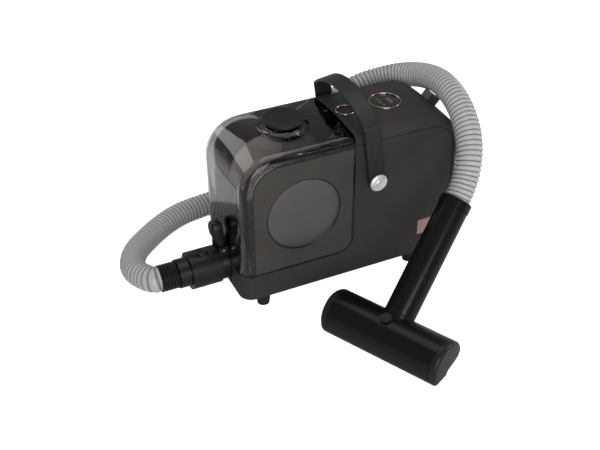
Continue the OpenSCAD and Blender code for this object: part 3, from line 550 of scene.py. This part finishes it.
for side in (-1, 1):
    profile = np.vstack([[(0.0001, 0)], [(dome_r - 0.0002, 0)], np.stack([r, dome_h + 0.0001], 1)])
    button = lathe("strap_button_near" if side < 0 else "strap_button_far", profile, (0, 0, 0))
    spun = np.empty(len(button.data.vertices) * 3, dtype=np.float32)
    button.data.vertices.foreach_get("co", spun)
    spun = spun.reshape(-1, 3)
    base_y = dome_high[1] - dome_tall
    placed = np.stack([spun[:, 0] + pivot[0], side * (spun[:, 2] + base_y), spun[:, 1] * side + pivot[2]], -1)
    button.data.vertices.foreach_set("co", placed.astype(np.float32).ravel())
    button.data.update()
    finished(button, silver, "root", "satin_metal", *(["handle_domes"] if side < 0 else []))


# ---- Hose port, cuff and latch ---------------------------------------------------------------------------
# Black ABS fittings at the front: the port, a cuff that turns on its spigot, a sleeve and rubber bellows.
# The latch is a thick thumb lever on a steel pin.
fitting = moulded("fitting_black", (0.009, 0.0088, 0.0085), 0.3, grain=1200, height=0.00002)
bellows_rubber = moulded("bellows_rubber", (0.010, 0.010, 0.010), 0.42, grain=600, height=0.00005)
for node, name in (("hose_port", "port_moulding"), ("latch_bracket", "bracket_moulding"),
                   ("hose_sleeve", "sleeve_moulding"), ("hose_cradle", "cradle_moulding")):
    smoothed(node, name, fitting, "root", "trim_plastic")
smoothed("swivel_cuff", "cuff_moulding", fitting, "swivel_cuff", "trim_plastic")
smoothed("strain_bellows", "bellows_moulding", bellows_rubber, "root", "rubber_black", crease=50)
press_low, press_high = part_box("cuff_button")
press = lathe("cuff_key", rounded([
    (0.0001, press_high[2] - 0.0012), (0.0050, press_high[2] - 0.0010), (0.0074, press_high[2]),
    (0.0085, press_high[2] - 0.001), (0.0085, press_low[2]), (0.0001, press_low[2])], 0.0009),
    ((press_low[0] + press_high[0]) / 2, 0, 0), around=64)
finished(press, fitting, "cuff_button", "trim_plastic", "cuff_button")
pin_x, pin_z, lever_half = -0.172, 0.074, 0.011
tall = np.array([-4, -3.6, -2, 0, 4, 8, 12, 16, 20, 26, 32, 36, 38.5, 40.5, 42, 42.8]) / 1000
rear = np.array([1.0, 2.2, 3.6, 4.0, 4.3, 4.7, 5.0, 4.9, 4.8, 4.7, 4.5, 3.8, 2.6, 1.2, -0.8, -3.0]) / 1000
front = -np.array([1.0, 2.2, 3.6, 4.2, 5.0, 6.0, 8.2, 10.3, 12.4, 13.3, 13.9, 13.4, 12.6, 11.4, 9.4,
                   7.0]) / 1000
side_r = lever_half * np.sqrt(np.clip(1 - np.clip((tall - 0.031) / 0.0122, 0, 1) ** 2, 0.02, 1))
turn = np.linspace(0, 2 * math.pi, 48, endpoint=False)[None, :]
c, d = np.cos(turn), np.sin(turn)
across = side_r[:, None] * np.sign(c) * np.abs(c) ** 0.55
depth = ((rear - front) / 2)[:, None] * np.sign(d) * np.abs(d) ** 0.6
ridge = 0.0005 * (d < -0.3) * (np.cos(across * 1900) > 0.1) * np.clip((tall[:, None] - 0.016) / 0.004, 0, 1)
lever_points = np.stack([pin_x + ((rear + front) / 2)[:, None] + depth + ridge, across,
                         pin_z + tall[:, None] + 0 * c], -1)
lever = grid_piece("thumb_lever", lever_points, close_u=True, cap=True)
finished(lever, fitting, "tank_latch", "trim_plastic", "tank_latch")


# ---- Wand ------------------------------------------------------------------------------------------------
# Two gloss black tubes pushed together, and a collar that turns on the hose's end. The gloss is slightly
# uneven, as on a moulded tube that has been handled.
wand_gloss = moulded("wand_gloss", (0.0045, 0.0045, 0.0042), 0.24, grain=600, height=0.000006, specular=0.22)
smoothed("wand_tube", "wand_lower_tube", wand_gloss, "root", "wand_gloss")
smoothed("wand_grip", "wand_upper_tube", wand_gloss, "root", "wand_gloss")
smoothed("wand_collar", "wand_collar_moulding", wand_gloss, "wand_collar", "wand_gloss")


# ---- Brush head ------------------------------------------------------------------------------------------
# A wide gloss black head: a deep rounded front that runs down to a suction mouth, a hollow back, end plates
# with soft edges, a flared neck that takes the wand, rubber lips, a row of nylon tufts and a spray nozzle.
head_at = np.array([-0.048, -0.226])
head_long = np.array([-math.sin(head_turn), math.cos(head_turn)])
head_deep = np.array([math.cos(head_turn), math.sin(head_turn)])


def on_head(depth, length, height):
    """Points given along the head's depth, length and height, put where the head stands."""
    flat = head_at + depth[..., None] * head_deep + length[..., None] * head_long
    return np.concatenate([flat, (height + 0 * length)[..., None]], -1)


outline = through(np.array([
    (2.5, 3, 0), (-2.4, 10, 0), (-4.6, 20, 0), (-4.2, 31, 0), (0.5, 42, 0), (10, 51, 0), (22, 54.6, 0),
    (36, 52.5, 0), (48, 46, 0), (57, 36.5, 0), (60.8, 27, 0), (58, 19, 0), (49, 14.2, 0), (38, 11.6, 0),
    (29, 8.5, 0), (25.5, 3, 0)]) / 1000, 96, np.array([-0.5, 0.86, 0]), np.array([-0.3, -0.95, 0]))[0][:, :2]
centre, head_wall = np.array([0.024, 0.028]), 0.0024
normal = np.gradient(outline, axis=0)
normal = np.stack([-normal[:, 1], normal[:, 0]], 1) / np.linalg.norm(normal, axis=1)[:, None]
inside = outline - head_wall * normal
loop = np.vstack([outline, inside[::-1]])
head_half, plate = 0.089, 0.010
along = np.linspace(-head_half + plate, head_half - plate, 40)[:, None]
shell_points = on_head(loop[:, 0][None, :] + 0 * along, along + 0 * loop[:, 0][None, :],
                       loop[:, 1][None, :] + 0 * along)
head = grid_piece("head_moulding", shell_points, close_u=True, cap=True)
head.data.set_sharp_from_angle(angle=math.radians(40))
finished(head, wand_gloss, "root", "wand_gloss", "head_shell")
bend = np.linspace(0, math.pi / 2, 9)
soft, head_r = 0.005, 0.027
steps = np.r_[0.0003, plate - soft + soft * np.sin(bend)]
shrink = np.r_[1.0, 1 - soft * (1 - np.cos(bend)) / head_r]
for side in (-1, 1):
    ring = centre + (outline - centre)[None] * shrink[:, None, None]
    out = side * (head_half - plate + steps)[:, None] + 0 * ring[..., 0]
    end_plate = grid_piece("head_end_near" if side < 0 else "head_end_far",
                           on_head(ring[..., 0], out, ring[..., 1]), close_u=True, cap=True)
    end_plate.data.set_sharp_from_angle(angle=math.radians(50))
    finished(end_plate, cap_black, "root", "wand_gloss", *(["head_caps"] if side < 0 else []))
wand_side = np.array([-math.sin(head_turn), math.cos(head_turn), 0.0])
wand_up = np.cross(wand_line, wand_side)
neck_top, neck_r = 0.0225, 0.0214
s = np.linspace(-0.012, neck_top, 30)
flare = neck_r + 0.0075 * np.clip((neck_top - s) / 0.030, 0, 1) ** 2.4
flare[-1] = neck_r - 0.0003
turn = np.linspace(0, 2 * math.pi, 72, endpoint=False)
neck_points = (wand_foot + s[:, None, None] * wand_line + flare[:, None, None] * (
    np.cos(turn)[None, :, None] * wand_side + np.sin(turn)[None, :, None] * wand_up))
neck_points[..., 2] = np.maximum(neck_points[..., 2], 0.012)
neck = grid_piece("head_neck", neck_points, close_u=True, cap=True)
neck.data.set_sharp_from_angle(angle=math.radians(45))
finished(neck, wand_gloss, "root", "wand_gloss")
tufts = moulded("nylon_tufts", (0.03, 0.03, 0.03), 0.6, grain=3000, height=0.0002)
finish_node(rubber, "suction_lip")
finish_node(tufts, "brush_strip")
smoothed("spray_nozzle", "nozzle_moulding", fitting, "root", "trim_plastic")


# ---- Inside the body -------------------------------------------------------------------------------------
# The suction motor in its rubber rings, the fan and its housing, the air and water ducts, the pump and the
# board. All of it is hidden while the machine is whole.
cast = moulded("motor_casing", (0.35, 0.36, 0.37), 0.4, grain=500, height=0.0001)
housing = moulded("housing_grey", (0.06, 0.06, 0.062), 0.5)
tube_clear = moulded("tube_milky", (0.55, 0.54, 0.52), 0.35)
board, tree, main = shader("board_green", (0.01, 0.09, 0.035), 0.3, coat=0.6)
finish_node(cast, "suction_motor", "impeller")
finish_node(housing, "motor_cradle", "fan_cover", "air_duct", "water_pump", "inlet_duct")
finish_node(board, "control_board")
finish_node(tube_clear, "pump_tube")


# ---- Side label ------------------------------------------------------------------------------------------
# A small film label low on the side, towards the rear. It is a dull pink and is left blank: nothing is
# printed on it.
film = moulded("label_film", (0.42, 0.24, 0.24), 0.5, edge=0)
finish_node(film, "rating_label")


# ---- Floor and lights ------------------------------------------------------------------------------------
# A white sweep that looks evenly lit to the camera, straight or through the clear tank, but only passes on
# the lamps' light to the machine. Large soft boxes stand overhead, in front, to the right and behind.
ground = bpy.data.meshes.new("floor")
ground.from_pydata([(-40, -40, 0), (40, -40, 0), (40, 40, 0), (-40, 40, 0)], [], [(0, 1, 2, 3)])
ground_piece = bpy.data.objects.new("floor", ground)
bpy.context.scene.collection.objects.link(ground_piece)
white, tree, main = shader("floor_white", (0.8, 0.8, 0.8), 0.6, specular=0.2)
main.inputs["Emission Color"].default_value = (1, 1, 1, 1)
ray = tree.nodes.new("ShaderNodeLightPath")
straight = tree.nodes.new("ShaderNodeMath")
straight.operation = "MAXIMUM"
tree.links.new(ray.outputs["Is Camera Ray"], straight.inputs[0])
tree.links.new(ray.outputs["Is Transmission Ray"], straight.inputs[1])
spread(tree, straight.outputs["Value"], 0.0, 1.0, main.inputs["Emission Strength"])
ground.materials.append(white)

sky = bpy.data.worlds.new("studio")
sky.use_nodes = True
sky.node_tree.nodes["Background"].inputs["Color"].default_value = (1, 1, 1, 1)
sky.node_tree.nodes["Background"].inputs["Strength"].default_value = 0.28
bpy.context.scene.world = sky


def soft_box(name, place, aim, size, power):
    """A square area light at place, turned to face aim."""
    lamp = bpy.data.objects.new(name, bpy.data.lights.new(name, "AREA"))
    lamp.data.size, lamp.data.energy = size, power
    lamp.location = place
    lamp.rotation_euler = (Vector(aim) - Vector(place)).to_track_quat("-Z", "Y").to_euler()
    bpy.context.scene.collection.objects.link(lamp)


soft_box("overhead", (0.1, 0.2, 1.7), (0, 0, 0.1), 1.2, 6)
soft_box("front", (-0.5, -1.9, 0.75), (0, 0, 0.12), 1.3, 24)
soft_box("right", (1.5, -0.5, 0.7), (0.05, -0.1, 0.1), 0.5, 6)
soft_box("behind", (-0.9, 1.2, 0.9), (0, 0, 0.1), 0.8, 4)
